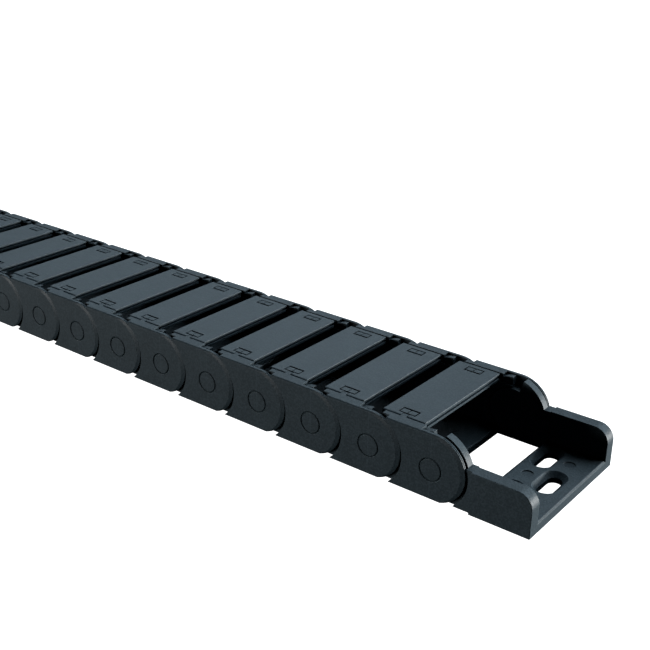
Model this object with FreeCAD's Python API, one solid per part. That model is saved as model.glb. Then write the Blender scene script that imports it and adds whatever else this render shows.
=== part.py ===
import FreeCAD, Part
import math
import os

# Cable drag chain with clip-on lids, for a cable space 40 mm wide and 15 mm high.
# Every length is in millimetres. X runs along the chain, Y across it and Z up.
# The chain lies straight on its crossbars, and it curls upwards, towards its lids.
# The origin is on the floor, in the middle of the chain's length and width.

# Chain
link_count = 14
pitch = 21.0
bend_limit = 20.0
inner_width = 40.0
inner_height = 15.0
crossbar_thickness = 2.6
lid_thickness = 2.0

# Side walls: an outer plate and an inner layer, which slides behind the next plate
plate_thickness = 1.2
layer_thickness = 2.5
plate_gap = 0.7
lid_seat_clearance = 0.3
rail_above_lid = 0.1
edge_chamfer = 0.3

# Pivot
pivot_height = 9.0
stud_radius = 3.4
stud_running_clearance = 0.08
stud_chamfer = 0.25
tongue_radius = 7.4
tongue_clearance = 0.4
shoulder_radius = 11.4
shoulder_top_angle = 17.5
shoulder_bottom_angle = 168.0
stop_clearance_angle = 0.6
nose_radius = 10.3
nose_ahead = 0.6
nose_travel_clearance = 0.3
corner_relief = 5.8
rail_front = 4.0
layer_top_radius = 10.8
face_radius = 10.3
face_setback = 0.8
face_below_rim = 0.4
face_rise = 0.35

# Crossbar and lid, measured along the chain from the link's front pivot
crossbar_front = 3.5
crossbar_length = 19.0
crossbar_joined_back = 18.8
crossbar_side_gap = 0.3
crossbar_edge_radius = 0.6
lid_front = 4.9
lid_length = 14.3
lid_side_gap = 0.3
lid_end_clearance = 0.5
lid_top_layer = 0.9
lid_groove_height = 0.4
lid_groove_depth = 0.5
lid_lip = 0.35
lid_lip_wall_gap = 0.4
lid_edge_radius = 0.25
lid_hinge_side_radius = 0.7

# Windows in the lid and the catches that stand in them
window_length = 5.7
window_width = 3.0
window_from_wall = 1.3
window_gap = 0.4
window_inner_gap = 0.65
window_outline_depth = 1.4
catch_slit = 0.25
catch_slit_depth = 0.6
ledge_thickness = 1.1
ledge_margin = 1.0
ledge_clearance = 0.1

# Lid hinge on the near wall
hinge_depth = 0.8
hinge_pin_radius = 0.5
hinge_running_clearance = 0.05
hinge_ear_width = 1.8
hinge_ear_gap = 0.15
hinge_ear_radius = 1.0
hinge_pin_reach = 2.2
hinge_notch_clearance = 0.2

# End brackets
bracket_length = 31.2
bracket_wall_thickness = 4.0
bracket_wall_height = 12.9
bracket_corner_radius = 4.6
bracket_floor_thickness = 3.1
bracket_floor_start = 11.3
bracket_step = 12.7
bracket_step_depth = 0.8
bracket_slope_start = 5.0
bracket_slope_end = 13.5
floor_edge_chamfer = 0.5
floor_inner_chamfer = 1.5

# Screw slots in the bracket floors
slot_width = 4.5
slot_length = 10.4
countersink_growth = 1.5
slot_row_distance = 17.0
slot_row_spacing = 23.6
middle_slot_distance = 24.1
dimple_radius = 1.8
dimple_depth = 0.3

# An edge this close to a plane lies in it
edge_tolerance = 0.05

# Worked out from the values above
layer_inside = inner_width / 2
layer_outside = layer_inside + layer_thickness
plate_inside = layer_outside + plate_gap
half_width = plate_inside + plate_thickness
ledge_top = crossbar_thickness + inner_height
lid_top = ledge_top + lid_seat_clearance + lid_thickness
lid_bottom = lid_top - lid_thickness
height = lid_top + rail_above_lid
stop_angle = shoulder_top_angle - bend_limit - stop_clearance_angle
rest_stop_angle = shoulder_bottom_angle + stop_clearance_angle
hollow_radius = tongue_radius + tongue_clearance
nose_height = height - nose_radius
# Farthest point of the round end from its pivot; it turns inside the next plate's hollow edge
nose_reach = nose_radius + math.hypot(nose_ahead, nose_height - pivot_height)
hollow_edge_radius = nose_reach + nose_travel_clearance
face_top = height - face_below_rim
face_height = face_top - face_radius
window_outside = layer_inside - window_from_wall
window_inside = window_outside - window_width
lid_end = layer_inside + lid_side_gap
pocket_side = lid_end + lid_end_clearance
lid_room_bottom = ledge_top - lid_end_clearance / 2
hinge_y = -(lid_end - hinge_depth)
hinge_z = lid_top - hinge_depth
crossbar_back = crossbar_front + crossbar_length
lid_back = lid_front + lid_length
lid_middle = lid_front + lid_length / 2
front_pivot_x = link_count * pitch / 2
far = 4 * pitch
joint_overlap = 0.5


def box(x0, x1, y0, y1, z0, z1):
    return Part.makeBox(x1 - x0, y1 - y0, z1 - z0, FreeCAD.Vector(x0, y0, z0))


def rod_y(x, z, radius, y0, y1):
    return Part.makeCylinder(radius, y1 - y0, FreeCAD.Vector(x, y0, z), FreeCAD.Vector(0, 1, 0))


def rod_x(y, z, radius, x0, x1):
    return Part.makeCylinder(radius, x1 - x0, FreeCAD.Vector(x0, y, z), FreeCAD.Vector(1, 0, 0))


def prism_y(outline, y0, y1):
    """A prism along Y over an outline of (x, z) corners."""
    corners = [FreeCAD.Vector(x, y0, z) for x, z in outline]
    face = Part.Face(Part.makePolygon(corners + corners[:1]))
    return face.extrude(FreeCAD.Vector(0, y1 - y0, 0))


def ray(x, angle, length):
    """A point at an angle from straight up, turning towards +X, about the pivot at x."""
    a = math.radians(angle)
    return (x + length * math.sin(a), pivot_height + length * math.cos(a))


def both_sides(shape):
    """The shape and its mirror image across the chain's middle plane."""
    other = shape.mirror(FreeCAD.Vector(0, 0, 0), FreeCAD.Vector(0, 1, 0))
    return shape, other


def chamfer_edges(shape, size, wanted):
    edges = [edge for edge in shape.Edges if wanted(edge)]
    return shape.makeChamfer(size, edges)


def fillet_edges(shape, radius, wanted):
    edges = [edge for edge in shape.Edges if wanted(edge)]
    return shape.makeFillet(radius, edges)


def lies_on(edge, axis, value):
    """True where a whole edge lies in the plane axis = value."""
    bounds = edge.BoundBox
    low, high = {
        "x": (bounds.XMin, bounds.XMax),
        "y": (bounds.YMin, bounds.YMax),
        "z": (bounds.ZMin, bounds.ZMax),
    }[axis]
    return abs(low - value) < edge_tolerance and abs(high - value) < edge_tolerance


def along_y(edge):
    bounds = edge.BoundBox
    return bounds.YLength > joint_overlap and bounds.XLength + bounds.ZLength < edge_tolerance


def stud(x):
    """Round stud on the outer face of a tongue, flush with the outside of the chain."""
    pin = rod_y(x, pivot_height, stud_radius, layer_outside - joint_overlap, half_width)
    return chamfer_edges(pin, stud_chamfer, lambda edge: lies_on(edge, "y", half_width))


def tongue():
    """Inner layer round the front bracket's pivot: a disc, and a shoulder with the two stop faces."""
    disc = rod_y(0, pivot_height, tongue_radius, layer_inside, layer_outside)
    outline = [
        (0, pivot_height),
        ray(0, shoulder_top_angle, far),
        (far, pivot_height + far),
        (far, pivot_height - far),
        ray(0, shoulder_bottom_angle, far),
    ]
    sector = prism_y(outline, layer_inside, layer_outside)
    room = box(0, bracket_step, layer_inside, layer_outside, 0, height)
    low = box(0, bracket_step, layer_inside, layer_outside, 0, bracket_wall_height)
    round_top = rod_y(0, pivot_height, shoulder_radius, layer_inside, layer_outside)
    shoulder = sector.common(room).common(low.fuse(round_top))
    return disc.fuse(shoulder)


def plate_wire(back, centre_x, centre_z, radius, y):
    """Outline of a plate at one depth: flat top and bottom, and a round end."""
    foot_x = centre_x + math.sqrt(radius ** 2 - centre_z ** 2)
    angle = (math.pi / 2 + math.atan2(-centre_z, foot_x - centre_x)) / 2
    middle = (centre_x + radius * math.cos(angle), centre_z + radius * math.sin(angle))
    corners = [(back, 0), (back, centre_z + radius), (centre_x, centre_z + radius), (foot_x, 0)]
    a, b, c, d = [FreeCAD.Vector(x, y, z) for x, z in corners]
    round_end = Part.Arc(c, FreeCAD.Vector(middle[0], y, middle[1]), d)
    lines = [Part.LineSegment(a, b), Part.LineSegment(b, c), round_end, Part.LineSegment(d, a)]
    return Part.Wire([line.toShape() for line in lines])


def plate_outline(back):
    """Outer plate from x = back to its round end, with its face raised inside a sloping rim."""
    rim_y = half_width - face_rise
    rim = plate_wire(back, nose_ahead, nose_height, nose_radius, rim_y)
    inside = Part.Face(plate_wire(back, nose_ahead, nose_height, nose_radius, layer_outside))
    face = plate_wire(back, -face_setback, face_height, face_radius, half_width)
    slope = Part.makeLoft([rim, face], True, True)
    return inside.extrude(FreeCAD.Vector(0, rim_y - layer_outside, 0)).fuse(slope)


def front_of_side(back):
    """The end of a side that carries the pivot hole: outer plate, and the layer with its stops."""
    plate = plate_outline(back)
    hole_radius = stud_radius + stud_running_clearance
    hole = rod_y(0, pivot_height, hole_radius, layer_outside, half_width)
    rim = Part.makeCone(hole_radius, hole_radius + stud_chamfer, stud_chamfer,
                        FreeCAD.Vector(0, half_width - stud_chamfer, pivot_height), FreeCAD.Vector(0, 1, 0))
    hole = hole.fuse(rim)
    room = box(-rail_front, pitch, layer_outside, plate_inside, 0, height)
    room = room.fuse(rod_y(0, pivot_height, hollow_radius, layer_outside, plate_inside))
    plate = plate.cut(hole).cut(room)
    layer = box(back, crossbar_front, layer_inside, layer_outside, 0, height)
    outline = [
        (0, pivot_height),
        ray(0, stop_angle, far),
        (far, pivot_height + far),
        (far, pivot_height - far),
        ray(0, rest_stop_angle, far),
    ]
    layer = layer.cut(prism_y(outline, layer_inside, layer_outside))
    layer = layer.cut(rod_y(0, pivot_height, hollow_radius, layer_inside, layer_outside))
    lid_room = box(-lid_front, crossbar_front, layer_inside, pocket_side, lid_room_bottom, height)
    above = box(-rail_front, crossbar_front, layer_inside, layer_outside, pivot_height, height)
    above = above.cut(rod_y(0, pivot_height, layer_top_radius, layer_inside, layer_outside))
    return plate, layer.cut(lid_room).cut(above)


def catch_top(bottom):
    """Slit top of a catch on the +Y side, from a height up to the lid's top."""
    x0 = -lid_middle - window_length / 2 + window_gap
    x1 = -lid_middle + window_length / 2 - window_gap
    post = box(x0, x1, window_inside + window_inner_gap, window_outside - window_gap, bottom, lid_top)
    slit = box(-lid_middle - catch_slit / 2, -lid_middle + catch_slit / 2, 0, layer_outside,
               lid_top - catch_slit_depth, lid_top)
    return post.cut(slit)


def ledge(top):
    """Ledge on the +Y side that a lid's end rests over."""
    reach = window_length / 2 + ledge_margin
    return box(-lid_middle - reach, -lid_middle + reach, window_inside - window_gap,
               layer_inside + joint_overlap, top - ledge_thickness, top)


def hinge_ear():
    """Ear on the near wall, with a round pin that stands out of both its faces."""
    x0 = -lid_middle - hinge_ear_width / 2
    x1 = -lid_middle + hinge_ear_width / 2
    knuckle = rod_x(hinge_y, hinge_z, hinge_ear_radius, x0, x1)
    web = box(x0, x1, -pocket_side - joint_overlap, hinge_y, hinge_z - hinge_ear_radius, lid_top)
    ear = knuckle.fuse(web)
    ear = ear.common(box(x0, x1, -half_width, 0, 0, lid_top))
    pin = rod_x(hinge_y, hinge_z, hinge_pin_radius, x0 - hinge_pin_reach, x1 + hinge_pin_reach)
    return ear.fuse(pin)


def make_link():
    """One link body with its front pivot at x = 0 and its rear pivot at x = -pitch."""
    plate, layer = front_of_side(-pitch)
    hollow = rod_y(-pitch, pivot_height, hollow_edge_radius, layer_outside, half_width)
    relief = box(-pitch - joint_overlap, -pitch + corner_relief, layer_outside, half_width,
                 height - corner_relief / 2, height + joint_overlap)
    plate = plate.cut(hollow).cut(relief)
    behind = [
        (-pitch, pivot_height),
        ray(-pitch, shoulder_top_angle, far),
        (-pitch - far, pivot_height + far),
        (-pitch - far, pivot_height - far),
        ray(-pitch, shoulder_bottom_angle, far),
    ]
    layer = layer.cut(prism_y(behind, layer_inside, layer_outside))
    layer = layer.fuse(rod_y(-pitch, pivot_height, tongue_radius, layer_inside, layer_outside))
    side = plate.fuse(layer).fuse(stud(-pitch))
    pocket = box(-lid_back - lid_end_clearance, -lid_front + lid_end_clearance,
                 layer_inside - joint_overlap, pocket_side,
                 lid_room_bottom, height + joint_overlap)
    side = side.cut(pocket)
    far_side, near_side = both_sides(side)
    free_end = layer_inside - crossbar_side_gap
    bar = box(-crossbar_back, -crossbar_front, -free_end, free_end, 0, crossbar_thickness)
    bar = fillet_edges(bar, crossbar_edge_radius, along_y)
    joined = box(-crossbar_joined_back, -crossbar_front, -layer_inside - joint_overlap,
                 layer_inside + joint_overlap, 0, crossbar_thickness)
    bar = bar.fuse(fillet_edges(joined, crossbar_edge_radius, along_y))
    far_ledge_top = lid_bottom - ledge_clearance
    far_catch = ledge(far_ledge_top).fuse(catch_top(far_ledge_top - joint_overlap))
    near_ledge = both_sides(ledge(lid_room_bottom))[1]
    body = far_side.fuse([near_side, bar, far_catch, near_ledge, hinge_ear()])
    return body.removeSplitter()


def make_lid():
    """One lid in the closed place, for the link whose front pivot is at x = 0."""
    x0 = -lid_back
    x1 = -lid_front
    groove_top = lid_top - lid_top_layer
    groove_bottom = groove_top - lid_groove_height
    top = box(x0, x1, -lid_end, lid_end, groove_top, lid_top)
    top = fillet_edges(top, lid_hinge_side_radius,
                       lambda edge: lies_on(edge, "z", lid_top) and lies_on(edge, "y", -lid_end))
    top = fillet_edges(top, lid_edge_radius,
                       lambda edge: lies_on(edge, "z", lid_top) and edge.BoundBox.YLength > lid_end)
    core = box(x0 + lid_groove_depth, x1 - lid_groove_depth, -lid_end, lid_end, lid_bottom, groove_top)
    lip_end = layer_inside - lid_lip_wall_gap
    lip = box(x0 - lid_lip, x1 + lid_lip, -lip_end, lip_end, lid_bottom, groove_bottom)
    lid = top.fuse([core, lip]).removeSplitter()
    window = box(-lid_middle - window_length / 2, -lid_middle + window_length / 2,
                 window_inside, window_outside, lid_bottom, lid_top)
    outline = window.cut(catch_top(lid_bottom))
    outline = outline.common(box(x0, x1, 0, lid_end, lid_top - window_outline_depth, lid_top))
    lid = lid.cut(window).cut(both_sides(outline)[1])
    half_notch = hinge_ear_width / 2 + hinge_ear_gap
    notch_depth = hinge_y + hinge_ear_radius + hinge_notch_clearance
    lid = lid.cut(box(-lid_middle - half_notch, -lid_middle + half_notch, -half_width, notch_depth,
                      0, height))
    reach = hinge_ear_width / 2 + hinge_pin_reach + hinge_ear_gap
    bore = rod_x(hinge_y, hinge_z, hinge_pin_radius + hinge_running_clearance,
                 -lid_middle - reach, -lid_middle + reach)
    return lid.cut(bore).removeSplitter()


def slot_cutter(x, y, sign):
    """Screw slot along Y with a sloping countersink, at a distance x from the pivot."""
    def stadium(width, length, z):
        half = length / 2 - width / 2
        r = width / 2
        cx = sign * x
        a = FreeCAD.Vector(cx - r, y - half, z)
        b = FreeCAD.Vector(cx - r, y + half, z)
        c = FreeCAD.Vector(cx + r, y + half, z)
        d = FreeCAD.Vector(cx + r, y - half, z)
        far_end = Part.Arc(b, FreeCAD.Vector(cx, y + half + r, z), c).toShape()
        near_end = Part.Arc(d, FreeCAD.Vector(cx, y - half - r, z), a).toShape()
        return Part.Wire([Part.LineSegment(a, b).toShape(), far_end,
                          Part.LineSegment(c, d).toShape(), near_end])

    through = Part.Face(stadium(slot_width, slot_length, -joint_overlap))
    through = through.extrude(FreeCAD.Vector(0, 0, bracket_floor_thickness + 2 * joint_overlap))
    grow = 2 * countersink_growth
    low = stadium(slot_width, slot_length, bracket_floor_thickness - countersink_growth)
    high = stadium(slot_width + grow, slot_length + grow, bracket_floor_thickness)
    sink = Part.makeLoft([low, high], True, True)
    return through.fuse(sink)


def bracket_floor(sign):
    """Floor plate between the bracket's walls, with its slots and moulded dimples."""
    x0, x1 = sorted((sign * bracket_floor_start, sign * bracket_length))
    floor = box(x0, x1, -layer_inside - joint_overlap * 2, layer_inside + joint_overlap * 2,
                0, bracket_floor_thickness)
    for x, size in ((bracket_floor_start, floor_inner_chamfer), (bracket_length, floor_edge_chamfer)):
        floor = chamfer_edges(floor, size, lambda edge: along_y(edge)
                              and lies_on(edge, "z", bracket_floor_thickness) and lies_on(edge, "x", sign * x))
    row = slot_row_spacing / 2
    for x, y in ((slot_row_distance, row), (slot_row_distance, -row), (middle_slot_distance, 0)):
        floor = floor.cut(slot_cutter(x, y, sign))
    for x, y in ((slot_row_distance, 0), (middle_slot_distance, row), (middle_slot_distance, -row)):
        bottom = FreeCAD.Vector(sign * x, y, bracket_floor_thickness - dimple_depth)
        floor = floor.cut(Part.makeCylinder(dimple_radius, joint_overlap + dimple_depth, bottom))
    return floor


def bracket_wall(sign, start):
    """Upright wall of a bracket on the +Y side, with its rounded top corner."""
    inside = half_width - bracket_wall_thickness
    x0, x1 = sorted((sign * start, sign * bracket_length))
    wall = box(x0, x1, inside, half_width, 0, bracket_wall_height)

    def corner(edge):
        return along_y(edge) and lies_on(edge, "x", sign * bracket_length) \
            and lies_on(edge, "z", bracket_wall_height)

    return fillet_edges(wall, bracket_corner_radius, corner)


def make_front_bracket():
    """Bracket with the studs, at the chain's +X end, with its pivot at x = 0."""
    layer = tongue()
    wall = bracket_wall(1, pitch / 4)
    hollow = rod_y(0, pivot_height, hollow_edge_radius, layer_outside, half_width)
    step = box(0, bracket_step, half_width - bracket_step_depth, half_width, 0, height)
    wall = wall.cut(hollow).cut(step)
    side = layer.fuse([wall, stud(0)])
    side = chamfer_edges(side, edge_chamfer / 2,
                         lambda edge: lies_on(edge, "y", half_width) and lies_on(edge, "z", bracket_wall_height))
    far_side, near_side = both_sides(side)
    return far_side.fuse([near_side, bracket_floor(1)]).removeSplitter()


def make_rear_bracket():
    """Bracket with the pivot holes, at the chain's -X end, with its pivot at x = 0."""
    back = -bracket_slope_end
    plate, layer = front_of_side(back)
    side = plate.fuse(layer)
    slope = [
        (-bracket_slope_start, height),
        (-bracket_slope_end, bracket_wall_height),
        (-pitch, bracket_wall_height),
        (-pitch, height + joint_overlap),
        (-bracket_slope_start, height + joint_overlap),
    ]
    side = side.cut(prism_y(slope, 0, half_width + joint_overlap))
    side = side.fuse(bracket_wall(-1, bracket_slope_end - joint_overlap))
    side = chamfer_edges(side, edge_chamfer / 2,
                         lambda edge: lies_on(edge, "y", half_width) and lies_on(edge, "z", bracket_wall_height))
    far_side, near_side = both_sides(side)
    return far_side.fuse([near_side, bracket_floor(-1)]).removeSplitter()


def write_part(shape, node, x):
    placed = shape.copy()
    placed.translate(FreeCAD.Vector(x, 0, 0))
    solids = placed.Solids
    print(node, "solids", len(solids), "valid", placed.isValid(), "volume", round(placed.Volume, 1))
    result = solids[0] if len(solids) == 1 else Part.makeCompound(solids)
    result.exportStep("parts/" + node + ".step")


def main():
    os.makedirs("parts", exist_ok=True)
    link = make_link()
    lid = make_lid()
    write_part(make_front_bracket(), "front_bracket", front_pivot_x)
    for number in range(1, link_count + 1):
        x = front_pivot_x - (number - 1) * pitch
        write_part(link, "link_%02d_body" % number, x)
        write_part(lid, "link_%02d_lid" % number, x)
    write_part(make_rear_bracket(), "rear_bracket", front_pivot_x - link_count * pitch)


main()
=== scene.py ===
import math

import bpy
from mathutils import Matrix, Vector


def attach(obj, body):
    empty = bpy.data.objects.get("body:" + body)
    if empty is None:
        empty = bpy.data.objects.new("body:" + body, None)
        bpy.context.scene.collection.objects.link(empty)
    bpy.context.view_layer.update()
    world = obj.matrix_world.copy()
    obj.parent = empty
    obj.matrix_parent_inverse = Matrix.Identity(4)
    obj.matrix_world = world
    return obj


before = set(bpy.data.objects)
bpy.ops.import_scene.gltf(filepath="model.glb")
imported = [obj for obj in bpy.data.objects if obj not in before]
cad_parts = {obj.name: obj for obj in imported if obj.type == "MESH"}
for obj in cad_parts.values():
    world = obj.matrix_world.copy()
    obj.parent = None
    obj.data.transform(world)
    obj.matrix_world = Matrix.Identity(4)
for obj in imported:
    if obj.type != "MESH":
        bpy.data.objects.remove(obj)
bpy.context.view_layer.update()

# Front end bracket: injection-moulded glass-filled nylon 6, dark grey right through.
# It is moulded in one piece with its two studs, and screwed down through the countersunk
# slots in its floor. Every other piece of the chain is the same nylon.
MM = 0.001
PITCH = 21.0 * MM
LINKS = 14
FRONT_PIVOT_X = LINKS * PITCH / 2
NYLON_DARK = "#1B2429"
NYLON_LIGHT = "#222C31"
NYLON_PALE_TONE_AND_EDGE_HIGHLIGHT = "#3C474E"
NYLON_IOR = 1.53
NYLON_SPECULAR_LEVEL = 0.12  # low, because the pebbled skin scatters most of the gloss
SPARK_GRAIN = 0.55 * MM  # coarser than the real grain, which would be finer than a pixel
PEBBLE_SHARE = 0.22
FIBRE_FLECK = 0.16 * MM
FLECK_SPACING = 4 * FIBRE_FLECK
FLECK_SHARE = 0.35
FLOW_CLOUD = 9.0 * MM
RUB_LENGTH = 5.0 * MM
RUB_SLANT = 0.35
RUB_NARROWING = 7.0
RUB_SHARE = 0.45
RUB_SHINE = 0.07
RUB_DULLNESS = 0.09
MOULD_EDGE = 0.16 * MM
EDGE_HIGHLIGHT_AND_SCUFF_SHARE = 0.6
SEAM_CORE = 0.05 * MM
SEAM_HALF_WIDTH = 0.16 * MM
SEAM_SHARE = 0.5


def linear(hex_colour):
    """sRGB hex to the linear colour that a shader socket takes."""
    values = [int(hex_colour[i:i + 2], 16) / 255 for i in (1, 3, 5)]
    bent = [v / 12.92 if v <= 0.04045 else ((v + 0.055) / 1.055) ** 2.4 for v in values]
    return (*bent, 1.0)


def add(tree, kind, inputs=None, **settings):
    """Adds one node, with its settings and its inputs, which are values or other sockets."""
    node = tree.nodes.new(kind)
    for name, value in settings.items():
        setattr(node, name, value)
    for key, value in (inputs or {}).items():
        socket = node.inputs[key]
        if isinstance(value, bpy.types.NodeSocket):
            tree.links.new(value, socket)
        else:
            socket.default_value = value
    return node


def stops(ramp_node, *pairs):
    """Sets a colour ramp's stops from (position, grey) pairs."""
    ramp = ramp_node.color_ramp
    while len(ramp.elements) < len(pairs):
        ramp.elements.new(0.5)
    for element, (position, grey) in zip(ramp.elements, pairs):
        element.position = position
        element.color = (grey, grey, grey, 1)
    return ramp_node.outputs["Color"]


def moulded_nylon(name, grain_depth, roughness, has_seam=False):
    """Glass-filled nylon off a spark-eroded mould: satin, finely pebbled, with faint glass flecks,
    cloudy flow marks, rubbed streaks and softly rounded edges. The edges are painted paler: partly
    edge scuffs, partly a painted highlight where they catch the light."""
    material = bpy.data.materials.new(name)
    material.use_nodes = True
    tree = material.node_tree
    tree.nodes.clear()
    place = add(tree, "ShaderNodeTexCoord").outputs["Object"]
    cloud = add(tree, "ShaderNodeTexNoise", {
        "Vector": place, "Scale": 1 / FLOW_CLOUD, "Detail": 3.0, "Roughness": 0.55})
    grain = add(tree, "ShaderNodeTexNoise", {
        "Vector": place, "Scale": 1 / SPARK_GRAIN, "Detail": 2.0, "Roughness": 0.6})
    pebble = stops(add(tree, "ShaderNodeValToRGB", {"Fac": grain.outputs["Fac"]}),
                   (0.42, 0.0), (0.62, 1.0))
    fleck = add(tree, "ShaderNodeTexVoronoi", {"Vector": place, "Scale": 1 / FLECK_SPACING})
    fleck_mask = stops(add(tree, "ShaderNodeValToRGB", {"Fac": fleck.outputs["Distance"]}),
                       (0.0, 1.0), (0.16, 0.0))
    along = add(tree, "ShaderNodeMapping", {
        "Vector": place, "Rotation": (0.0, 0.0, RUB_SLANT),
        "Scale": (1.0, RUB_NARROWING, RUB_NARROWING)})
    streak = add(tree, "ShaderNodeTexNoise", {
        "Vector": along.outputs["Vector"], "Scale": 1 / RUB_LENGTH, "Detail": 4.0, "Roughness": 0.7})
    rub = stops(add(tree, "ShaderNodeValToRGB", {"Fac": streak.outputs["Fac"]}),
                (0.62, 0.0), (0.78, 1.0))
    flat = add(tree, "ShaderNodeNewGeometry").outputs["Normal"]
    rounded = add(tree, "ShaderNodeBevel", {"Radius": MOULD_EDGE}, samples=4).outputs["Normal"]
    turn = add(tree, "ShaderNodeVectorMath", {0: flat, 1: rounded}, operation="DOT_PRODUCT")
    edge = add(tree, "ShaderNodeMapRange", {
        "Value": turn.outputs["Value"], "From Min": 0.995, "From Max": 0.80,
        "To Min": 0.0, "To Max": 0.55})

    def towards(colour, mask, share, hex_colour):
        """Mixes a colour towards another by a mask. A colour Mix node's sockets go by place."""
        amount = add(tree, "ShaderNodeMath", {0: mask, 1: share}, operation="MULTIPLY")
        return add(tree, "ShaderNodeMix", {0: amount.outputs[0], 6: colour, 7: linear(hex_colour)},
                   data_type="RGBA").outputs[2]

    colour = towards(linear(NYLON_DARK), cloud.outputs["Fac"], 1.0, NYLON_LIGHT)
    colour = towards(colour, pebble, PEBBLE_SHARE, NYLON_PALE_TONE_AND_EDGE_HIGHLIGHT)
    colour = towards(colour, fleck_mask, FLECK_SHARE, NYLON_PALE_TONE_AND_EDGE_HIGHLIGHT)
    colour = towards(colour, rub, RUB_SHARE, NYLON_PALE_TONE_AND_EDGE_HIGHLIGHT)
    # painted highlight: rounded edges are paled as if catching the light, on top of faint edge
    # scuffs
    colour = towards(colour, edge.outputs["Result"], EDGE_HIGHLIGHT_AND_SCUFF_SHARE, NYLON_PALE_TONE_AND_EDGE_HIGHLIGHT)
    if has_seam:
        # the split line of the side moulds crosses each disc upright, through its pivot
        apart = add(tree, "ShaderNodeSeparateXYZ", {0: place})
        shifted = add(tree, "ShaderNodeMath", {0: apart.outputs["X"], 1: -FRONT_PIVOT_X},
                      operation="ADD")
        wrapped = add(tree, "ShaderNodeMath", {0: shifted.outputs[0], 1: PITCH / 2, 2: -PITCH / 2},
                      operation="WRAP")
        distance = add(tree, "ShaderNodeMath", {0: wrapped.outputs[0]}, operation="ABSOLUTE")
        seam = add(tree, "ShaderNodeMapRange", {
            "Value": distance.outputs[0], "From Min": SEAM_CORE, "From Max": SEAM_HALF_WIDTH,
            "To Min": 0.5, "To Max": 0.0})
        colour = towards(colour, seam.outputs["Result"], SEAM_SHARE, NYLON_PALE_TONE_AND_EDGE_HIGHLIGHT)
    height = add(tree, "ShaderNodeMath", {0: grain.outputs["Fac"], 1: grain_depth},
                 operation="MULTIPLY")
    bump = add(tree, "ShaderNodeBump", {
        "Height": height.outputs[0], "Distance": 1.0, "Strength": 1.0, "Normal": rounded})
    dull = add(tree, "ShaderNodeMapRange", {
        "Value": streak.outputs["Fac"], "To Min": roughness - RUB_SHINE,
        "To Max": roughness + RUB_DULLNESS})
    shader = add(tree, "ShaderNodeBsdfPrincipled", {
        "Base Color": colour, "Roughness": dull.outputs["Result"], "IOR": NYLON_IOR,
        "Specular IOR Level": NYLON_SPECULAR_LEVEL, "Normal": bump.outputs["Normal"]})
    add(tree, "ShaderNodeOutputMaterial", {"Surface": shader.outputs["BSDF"]})
    return material


BRACKET_GRAIN_DEPTH = 0.070 * MM
BRACKET_ROUGHNESS = 0.52
bracket_nylon = moulded_nylon("Glass_filled_nylon_spark_texture_bracket", BRACKET_GRAIN_DEPTH,
                              BRACKET_ROUGHNESS)


def finish_node(node, material):
    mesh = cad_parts[node].data
    mesh.materials.clear()
    mesh.materials.append(material)


finish_node("front_bracket", bracket_nylon)

# Link bodies: each one is moulded in one piece, two side walls and the crossbar below them.
# Its discs click over the studs of the piece in front, and its own studs carry the next link.
LINK_GRAIN_DEPTH = 0.065 * MM
LINK_ROUGHNESS = 0.50
link_nylon = moulded_nylon("Glass_filled_nylon_spark_texture_link", LINK_GRAIN_DEPTH,
                           LINK_ROUGHNESS, has_seam=True)
for number in range(1, LINKS + 1):
    finish_node("link_%02d_body" % number, link_nylon)

# Lids: moulded crossbars with a finer, slightly glossier top. Each is pushed onto its hinge pin
# at the near wall and pressed shut over the catches, which fill its two windows.
LID_GRAIN_DEPTH = 0.022 * MM
LID_ROUGHNESS = 0.46
lid_nylon = moulded_nylon("Glass_filled_nylon_fine_texture_lid", LID_GRAIN_DEPTH, LID_ROUGHNESS)
for number in range(1, LINKS + 1):
    finish_node("link_%02d_lid" % number, lid_nylon)

# Rear end bracket: the front bracket's counterpart, with discs and holes in place of the studs.
# It is of the same nylon, moulded in one piece and screwed down in the same way.
finish_node("rear_bracket", bracket_nylon)

# Mould split beads: where the two halves of the mould meet, each disc's round edge keeps a very
# low bead of nylon, half way through the plate. It is trimmed flush on the straight edges.
BEAD_RADIUS = 0.11 * MM
NOSE_RADIUS = 10.3 * MM
NOSE_AHEAD = 0.6 * MM
NOSE_Z = 9.7 * MM
PLATE_MIDDLE_Y = 23.6 * MM
BEAD_START = math.radians(-58)
BEAD_SWEEP = math.radians(133)
BEAD_STEPS = 40
BEAD_SIDES = 8

bead_tree = bpy.data.node_groups.new("Mould_split_bead", "GeometryNodeTree")


def tree_sockets(tree, *inputs):
    """Gives a node tree its named inputs and its geometry output."""
    for label, kind in inputs:
        tree.interface.new_socket(name=label, in_out="INPUT", socket_type=kind)
    tree.interface.new_socket(name="Geometry", in_out="OUTPUT", socket_type="NodeSocketGeometry")


tree_sockets(bead_tree, ("Nose radius", "NodeSocketFloat"), ("Bead radius", "NodeSocketFloat"),
             ("Start angle", "NodeSocketFloat"), ("Sweep angle", "NodeSocketFloat"),
             ("Side distance", "NodeSocketFloat"), ("Nose centre", "NodeSocketVector"),
             ("Material", "NodeSocketMaterial"))
given = add(bead_tree, "NodeGroupInput").outputs
arc = add(bead_tree, "GeometryNodeCurveArc", {
    "Resolution": BEAD_STEPS, "Radius": given["Nose radius"], "Start Angle": given["Start angle"],
    "Sweep Angle": given["Sweep angle"]})
upright = add(bead_tree, "GeometryNodeTransform", {
    "Geometry": arc.outputs["Curve"], "Rotation": (math.pi / 2, 0.0, 0.0)})
profile = add(bead_tree, "GeometryNodeCurvePrimitiveCircle", {
    "Resolution": BEAD_SIDES, "Radius": given["Bead radius"]})
swept = add(bead_tree, "GeometryNodeCurveToMesh", {
    "Curve": upright.outputs["Geometry"], "Profile Curve": profile.outputs["Curve"],
    "Fill Caps": True})
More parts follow.
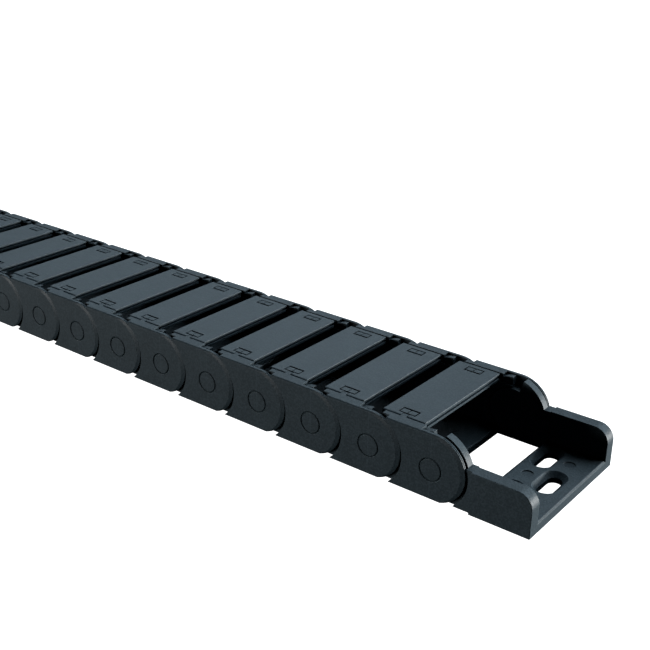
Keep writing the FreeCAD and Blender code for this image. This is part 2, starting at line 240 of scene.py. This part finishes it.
side = add(bead_tree, "ShaderNodeCombineXYZ", {"Y": given["Side distance"]})
near_place = add(bead_tree, "ShaderNodeVectorMath", {0: given["Nose centre"], 1: side.outputs[0]},
                 operation="SUBTRACT")
far_place = add(bead_tree, "ShaderNodeVectorMath", {0: given["Nose centre"], 1: side.outputs[0]},
                operation="ADD")
near_bead = add(bead_tree, "GeometryNodeTransform", {
    "Geometry": swept.outputs["Mesh"], "Translation": near_place.outputs[0]})
far_bead = add(bead_tree, "GeometryNodeTransform", {
    "Geometry": swept.outputs["Mesh"], "Translation": far_place.outputs[0]})
both = add(bead_tree, "GeometryNodeJoinGeometry")
bead_tree.links.new(near_bead.outputs["Geometry"], both.inputs["Geometry"])
bead_tree.links.new(far_bead.outputs["Geometry"], both.inputs["Geometry"])
real = add(bead_tree, "GeometryNodeRealizeInstances", {"Geometry": both.outputs["Geometry"]})
painted = add(bead_tree, "GeometryNodeSetMaterial", {
    "Geometry": real.outputs["Geometry"], "Material": given["Material"]})
add(bead_tree, "NodeGroupOutput", {"Geometry": painted.outputs["Geometry"]})


def grown(name, tree, values, body):
    """Runs a node tree on an empty mesh and keeps the result as a plain mesh on a body."""
    seed = bpy.data.objects.new(name + "_seed", bpy.data.meshes.new(name + "_seed"))
    bpy.context.scene.collection.objects.link(seed)
    modifier = seed.modifiers.new("grow", "NODES")
    modifier.node_group = tree
    for item in tree.interface.items_tree:
        if item.item_type == "SOCKET" and item.in_out == "INPUT" and item.name in values:
            modifier[item.identifier] = values[item.name]
    ready = seed.evaluated_get(bpy.context.evaluated_depsgraph_get())
    mesh = bpy.data.meshes.new_from_object(ready)
    mesh.name = name
    bpy.data.objects.remove(seed)
    piece = bpy.data.objects.new(name, mesh)
    bpy.context.scene.collection.objects.link(piece)
    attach(piece, body)


disc_bodies = ["link_%02d" % number for number in range(1, LINKS + 1)] + ["rear_bracket"]
for number, body in enumerate(disc_bodies):
    centre = Vector((FRONT_PIVOT_X - number * PITCH + NOSE_AHEAD, 0, NOSE_Z))
    grown(body + "_split_bead", bead_tree, {
        "Nose radius": NOSE_RADIUS, "Bead radius": BEAD_RADIUS, "Start angle": BEAD_START,
        "Sweep angle": BEAD_SWEEP, "Side distance": PLATE_MIDDLE_Y, "Nose centre": centre,
        "Material": link_nylon}, body)

# Ejector marks: the pins that push a moulding out of the mould leave low round pads. Each
# crossbar has two of them, on the face towards the cables.
MARK_RADIUS = 1.1 * MM
MARK_HEIGHT = 0.05 * MM
MARK_TAPER = 0.94
MARK_SIDES = 32
CROSSBAR_TOP = 2.6 * MM
CROSSBAR_MIDDLE = 13.0 * MM
MARK_Y = 9.0 * MM

mark_tree = bpy.data.node_groups.new("Ejector_marks", "GeometryNodeTree")
tree_sockets(mark_tree, ("Mark radius", "NodeSocketFloat"), ("Mark height", "NodeSocketFloat"),
             ("First mark", "NodeSocketVector"), ("Step", "NodeSocketVector"),
             ("Count", "NodeSocketInt"), ("Material", "NodeSocketMaterial"))
given = add(mark_tree, "NodeGroupInput").outputs
row = add(mark_tree, "GeometryNodeMeshLine", {
    "Count": given["Count"], "Start Location": given["First mark"], "Offset": given["Step"]},
    mode="OFFSET")
taper = add(mark_tree, "ShaderNodeMath", {0: given["Mark radius"], 1: MARK_TAPER},
            operation="MULTIPLY")
pad = add(mark_tree, "GeometryNodeMeshCone", {
    "Vertices": MARK_SIDES, "Radius Top": taper.outputs[0], "Radius Bottom": given["Mark radius"],
    "Depth": given["Mark height"]})
dotted = add(mark_tree, "GeometryNodeInstanceOnPoints", {
    "Points": row.outputs["Mesh"], "Instance": pad.outputs["Mesh"]})
real = add(mark_tree, "GeometryNodeRealizeInstances", {"Geometry": dotted.outputs["Instances"]})
painted = add(mark_tree, "GeometryNodeSetMaterial", {
    "Geometry": real.outputs["Geometry"], "Material": given["Material"]})
add(mark_tree, "NodeGroupOutput", {"Geometry": painted.outputs["Geometry"]})

for number in range(1, LINKS + 1):
    middle_x = FRONT_PIVOT_X - (number - 1) * PITCH - CROSSBAR_MIDDLE
    grown("link_%02d_ejector_marks" % number, mark_tree, {
        "Mark radius": MARK_RADIUS, "Mark height": MARK_HEIGHT,
        "First mark": Vector((middle_x, -MARK_Y, CROSSBAR_TOP)),
        "Step": Vector((0, 2 * MARK_Y, 0)), "Count": 2, "Material": link_nylon},
        "link_%02d" % number)

# Studio: a white table with large soft lights above and behind, a low one off the bracket's end and
# a low strip at the front left, as in a catalogue photograph. The table and the white behind it
# throw no light, so the hollow inside of the chain stays dark. None of it is part of the chain.
FLOOR_REACH = 12.0
FLOOR_GREY = "#5A5A5A"
FLOOR_ROUGHNESS = 0.9
WHITE = (1.0, 1.0, 1.0, 1.0)
EXPOSURE = 0.42
GAMMA = 0.88
floor_mesh = bpy.data.meshes.new("Floor")
corners = [(x * FLOOR_REACH, y * FLOOR_REACH, 0) for x, y in ((-1, -1), (1, -1), (1, 1), (-1, 1))]
floor_mesh.from_pydata(corners, [], [(0, 1, 2, 3)])
floor = bpy.data.objects.new("Floor", floor_mesh)
bpy.context.scene.collection.objects.link(floor)
floor.visible_diffuse = False
floor.visible_glossy = False
table = bpy.data.materials.new("White_lit_acrylic_table")
table.use_nodes = True
table_shader = table.node_tree.nodes["Principled BSDF"]
for socket, value in (("Base Color", linear(FLOOR_GREY)), ("Roughness", FLOOR_ROUGHNESS),
                      ("Emission Color", WHITE), ("Emission Strength", 1.0)):
    table_shader.inputs[socket].default_value = value
floor_mesh.materials.append(table)

world = bpy.data.worlds.new("White_studio")
world.use_nodes = True
world.node_tree.nodes["Background"].inputs["Color"].default_value = WHITE
world.node_tree.nodes["Background"].inputs["Strength"].default_value = 1.0
world.cycles_visibility.diffuse = False
world.cycles_visibility.glossy = False
bpy.context.scene.world = world
bpy.context.scene.view_settings.view_transform = "Standard"
bpy.context.scene.view_settings.exposure = EXPOSURE
bpy.context.scene.view_settings.gamma = GAMMA
DAYLIGHT = (0.78, 0.91, 1.0)
NEUTRAL = (0.93, 0.92, 0.90)


def softbox(name, place, aim, size, power, height=None, colour=DAYLIGHT):
    """A soft light aimed at a point: its width and height in metres and its power in watts."""
    lamp = bpy.data.lights.new(name, "AREA")
    lamp.shape = "RECTANGLE"
    lamp.size = size
    lamp.size_y = height or size
    lamp.energy = power
    lamp.color = colour
    thing = bpy.data.objects.new(name, lamp)
    thing.location = place
    thing.rotation_euler = (Vector(aim) - Vector(place)).to_track_quat("-Z", "Y").to_euler()
    bpy.context.scene.collection.objects.link(thing)


softbox("Key_softbox_behind_right", (0.35, 0.75, 0.9), (0.0, 0.0, 0.0), 0.9, 17.2)
softbox("Fill_softbox_behind_left", (-0.6, 0.6, 0.8), (-0.1, 0.0, 0.0), 0.9, 8.0)
softbox("Low_softbox_facing_the_end", (1.15, 0.8, 0.09), (0.17, 0.0, 0.006), 0.5, 55.0, 0.16,
        NEUTRAL)
softbox("Low_strip_light_front_left", (-0.9, -1.3, 0.09), (0.0, 0.0, 0.012), 1.3, 30.5, 0.16,
        NEUTRAL)
softbox("Low_softbox_behind", (-0.3, 1.3, 0.35), (0.0, 0.0, 0.0), 1.0, 1.3)

# Camera: the photograph's view, from in front of the bracket and above the near side.
PHOTO_WIDTH = 650
FOCAL_PIXELS = 1074.6
SENSOR_WIDTH = 36.0
CAMERA_FROM_FRONT_PIVOT = (0.13338, -0.24101, 0.16087)
azimuth, elevation, roll = (math.radians(a) for a in (38.163, 23.376, 0.662))
back = Vector((math.sin(azimuth) * math.cos(elevation),
               -math.cos(azimuth) * math.cos(elevation), math.sin(elevation)))
right = Vector((0, 0, 1)).cross(back).normalized()
up = back.cross(right)
turned_right = math.cos(roll) * right + math.sin(roll) * up
turned_up = math.cos(roll) * up - math.sin(roll) * right
lens = bpy.data.cameras.new("Photograph_view")
lens.sensor_width = SENSOR_WIDTH
lens.sensor_fit = "HORIZONTAL"
lens.lens = FOCAL_PIXELS / PHOTO_WIDTH * SENSOR_WIDTH
lens.clip_start = 0.01
camera = bpy.data.objects.new("Photograph_view", lens)
place = Vector((FRONT_PIVOT_X, 0, 0)) + Vector(CAMERA_FROM_FRONT_PIVOT)
facing = Matrix((turned_right, turned_up, back)).transposed().to_4x4()
camera.matrix_world = Matrix.Translation(place) @ facing
bpy.context.scene.collection.objects.link(camera)
bpy.context.scene.camera = camera
